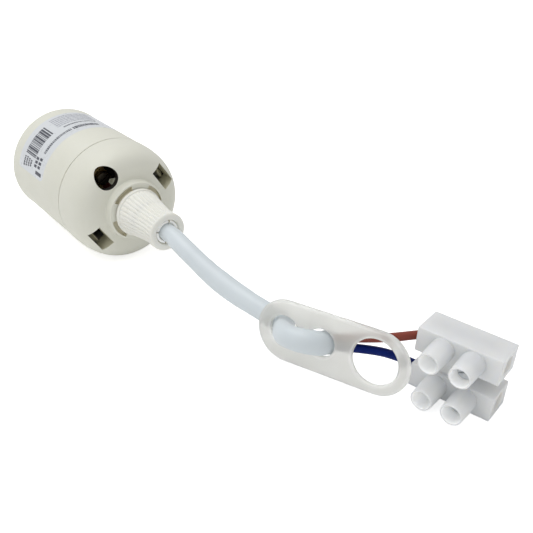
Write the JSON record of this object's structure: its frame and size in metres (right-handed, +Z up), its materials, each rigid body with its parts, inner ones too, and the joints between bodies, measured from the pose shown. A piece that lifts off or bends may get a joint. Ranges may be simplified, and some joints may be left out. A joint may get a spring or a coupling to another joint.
{
  "type": "pendant lampholder lead",
  "caption": "Screw-base pendant lampholder with domed cap, ribbed cord grip, white cable, hook tag and a terminal block on its cores.",
  "frame": {"origin": "on the lampholder's axis, at the face of the centre contact where a lamp's tip bears", "axes": "+X along the lampholder's axis from its mouth to the cord, +Z up from the surface the lead lies on"},
  "size_m": [0.1877, 0.0647, 0.0426],
  "materials": {
    "ivory_plastic": "fine matt moulded",
    "warm_white_plastic": "fine matt moulded",
    "cable_white_pvc": "smooth satin",
    "frosted_plate": "frosted translucent",
    "natural_polyamide": "natural translucent",
    "moulded_carrier": "moulded thermoset",
    "label_film": "printed film",
    "brass": "bright",
    "zinc_plated_steel": "zinc plated",
    "copper": "bare copper wire",
    "brown_insulation": "smooth",
    "blue_insulation": "smooth"
  },
  "bodies": {
    "holder": {"dome_cap": "ivory_plastic", "contact_carrier": "moulded_carrier", "live_clamp": "brass", "neutral_clamp": "brass", "sheath_grip_end": "cable_white_pvc", "brown_core_holder_side": "brown_insulation", "blue_core_holder_side": "blue_insulation", "brown_copper_holder_end": "copper", "blue_copper_holder_end": "copper"},
    "skirt": {"skirt_shell": "ivory_plastic", "rating_label": "label_film"},
    "grip_collet": {"cord_grip_collet": "warm_white_plastic"},
    "grip_nut": {"cord_grip_nut": "warm_white_plastic"},
    "centre_contact": {"centre_contact": "brass"},
    "side_contact": {"side_contact": "brass"},
    "live_clamp_screw": {"live_clamp_screw": "zinc_plated_steel"},
    "neutral_clamp_screw": {"neutral_clamp_screw": "zinc_plated_steel"},
    "cable_middle": {"sheath_middle": "cable_white_pvc"},
    "tag_end": {"sheath_tag_end": "cable_white_pvc", "hook_tag": "frosted_plate", "brown_core_tag_side": "brown_insulation", "blue_core_tag_side": "blue_insulation"},
    "terminal_block": {"terminal_block_housing": "natural_polyamide", "brown_clamp_tube": "brass", "blue_clamp_tube": "brass", "brown_core_block_side": "brown_insulation", "blue_core_block_side": "blue_insulation", "brown_copper_block_end": "copper", "blue_copper_block_end": "copper"},
    "brown_inlet_screw": {"brown_inlet_screw": "zinc_plated_steel"},
    "brown_outlet_screw": {"brown_outlet_screw": "zinc_plated_steel"},
    "blue_inlet_screw": {"blue_inlet_screw": "zinc_plated_steel"},
    "blue_outlet_screw": {"blue_outlet_screw": "zinc_plated_steel"}
  },
  "joints": [
    {"name": "skirt_pull_off", "type": "slide", "parent": "holder", "child": "skirt", "axis": [-1, 0, 0], "range_m": [0, 0.036]},
    {"name": "grip_back_off", "type": "slide", "parent": "holder", "child": "grip_collet", "axis": [1, 0, 0], "range_m": [0, 0.003]},
    {"name": "grip_nut_turn", "type": "hinge", "parent": "grip_collet", "child": "grip_nut", "pos_m": [0.039, 0, 0], "axis": [1, 0, 0], "range_deg": [0, 720]},
    {"name": "centre_contact_flex", "type": "hinge", "parent": "holder", "child": "centre_contact", "pos_m": [0.0031, -0.00551, 0.00786], "axis": [0, -0.8192, -0.5736], "range_deg": [0, 7]},
    {"name": "side_contact_flex", "type": "hinge", "parent": "holder", "child": "side_contact", "pos_m": [0.00305, 0.00528, -0.00754], "axis": [0, 0.8192, 0.5736], "range_deg": [0, 6]},
    {"name": "live_clamp_screw_turn", "type": "hinge", "parent": "holder", "child": "live_clamp_screw", "pos_m": [0.0145, -0.00723, 0.01032], "axis": [1, 0, 0], "range_deg": [0, 720]},
    {"name": "neutral_clamp_screw_turn", "type": "hinge", "parent": "holder", "child": "neutral_clamp_screw", "pos_m": [0.0145, 0.00723, -0.01032], "axis": [1, 0, 0], "range_deg": [0, 720]},
    {"name": "cable_swing", "type": "hinge", "parent": "holder", "child": "cable_middle", "pos_m": [0.057, 0.00025, -0.00175], "axis": [0, 0, 1], "range_deg": [-20, 20]},
    {"name": "cable_lift", "type": "hinge", "parent": "cable_middle", "child": "tag_end", "pos_m": [0.077, 0.0032, -0.0077], "axis": [0.1701, -0.9854, 0], "range_deg": [0, 30]},
    {"name": "core_bend", "type": "hinge", "parent": "tag_end", "child": "terminal_block", "pos_m": [0.1253, 0.0226, -0.0094], "axis": [0, 0, 1], "range_deg": [-10, 20]},
    {"name": "brown_inlet_screw_turn", "type": "hinge", "parent": "terminal_block", "child": "brown_inlet_screw", "pos_m": [0.13998, 0.02942, -0.00511], "axis": [0.2198, -0.9755, 0], "range_deg": [0, 720]},
    {"name": "brown_outlet_screw_turn", "type": "hinge", "parent": "terminal_block", "child": "brown_outlet_screw", "pos_m": [0.14866, 0.03137, -0.00511], "axis": [0.2198, -0.9755, 0], "range_deg": [0, 720]},
    {"name": "blue_inlet_screw_turn", "type": "hinge", "parent": "terminal_block", "child": "blue_inlet_screw", "pos_m": [0.13998, 0.02942, -0.0174], "axis": [0.2198, -0.9755, 0], "range_deg": [0, 720]},
    {"name": "blue_outlet_screw_turn", "type": "hinge", "parent": "terminal_block", "child": "blue_outlet_screw", "pos_m": [0.14866, 0.03137, -0.0174], "axis": [0.2198, -0.9755, 0], "range_deg": [0, 720]}
  ],
  "couplings": [
    {"joint": "grip_nut_turn", "follows": "grip_back_off", "rad_per_m": 4188.8}
  ]
}
